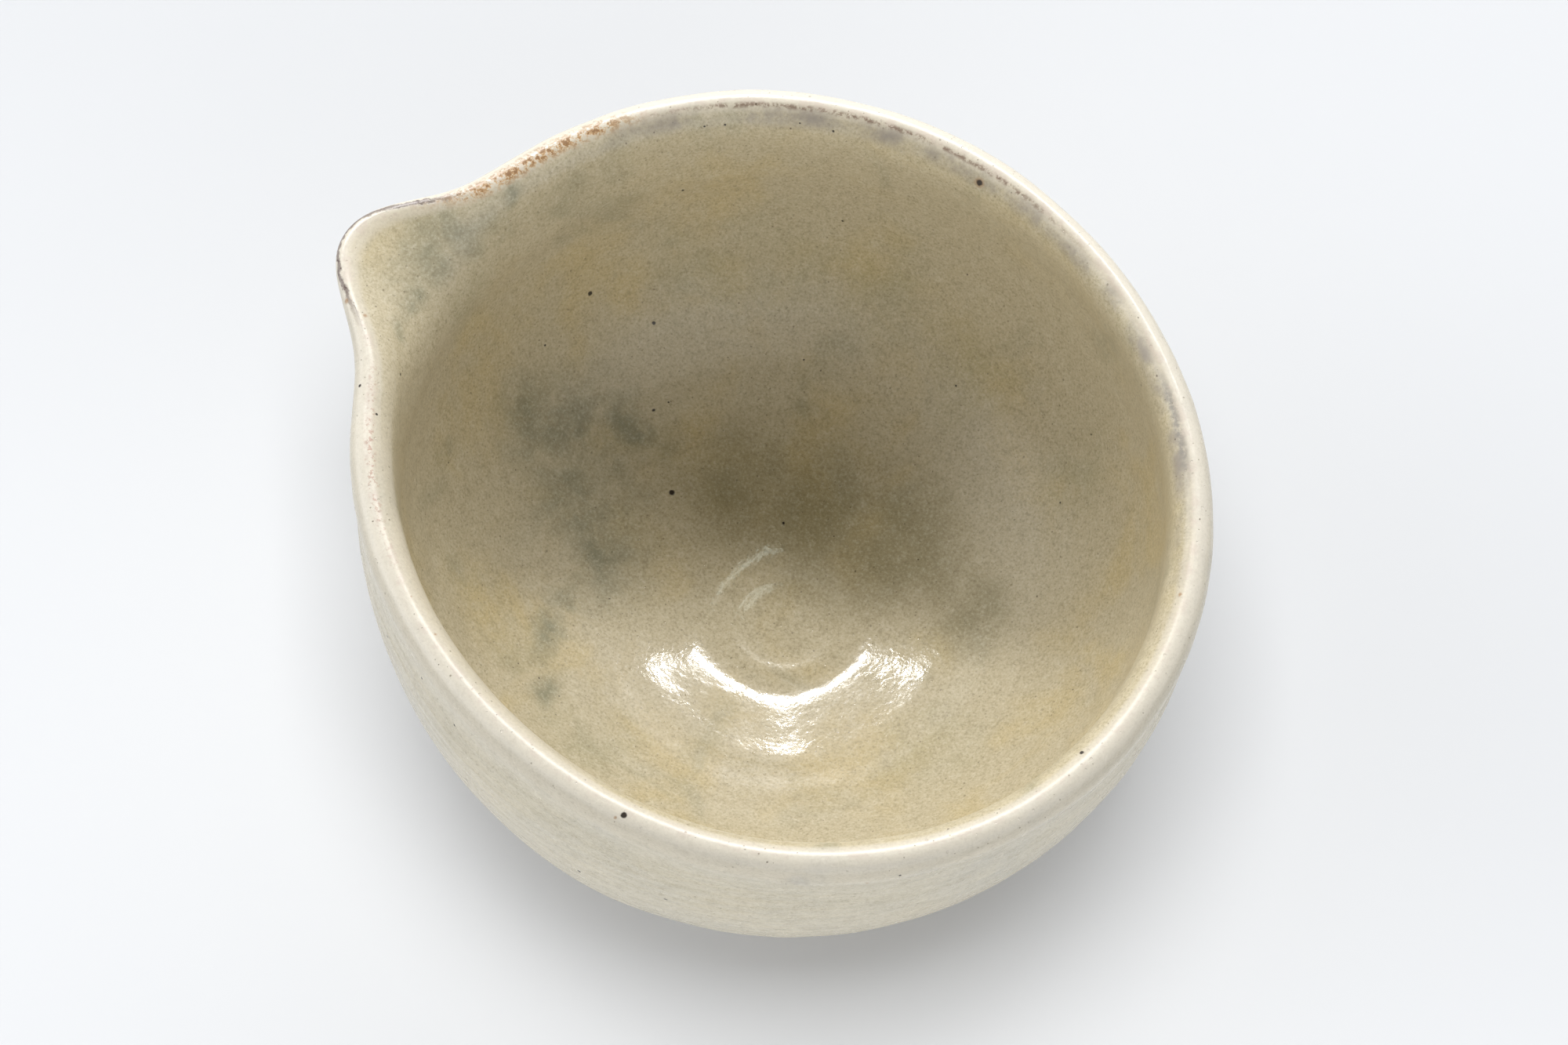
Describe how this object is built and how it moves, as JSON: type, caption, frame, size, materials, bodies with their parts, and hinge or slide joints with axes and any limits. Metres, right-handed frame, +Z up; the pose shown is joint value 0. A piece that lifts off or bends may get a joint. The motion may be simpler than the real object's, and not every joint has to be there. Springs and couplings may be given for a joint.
{
  "type": "spouted bowl",
  "caption": "Glazed stoneware mixing bowl with a pulled pouring spout in its rim and a turned foot ring.",
  "frame": {"origin": "on the table, under the middle of the whole bowl, spout included", "axes": "+Z up out of the bowl's mouth, -X out of the spout, +Y the rest of a right-handed set"},
  "size_m": [0.1334, 0.117, 0.0665],
  "materials": {
    "fired_clay": "bare toasted stoneware, matt and slightly gritty",
    "olive_glaze": "glossy olive beige glaze with fine specks, iron spots and grey clouds",
    "cream_glaze": "satin cream glaze with pinholes, specks and faint horizontal throwing lines"
  },
  "bodies": {
    "root": {"clay_body": "fired_clay", "inner_glaze": "olive_glaze", "outer_glaze": "cream_glaze"}
  },
  "joints": []
}
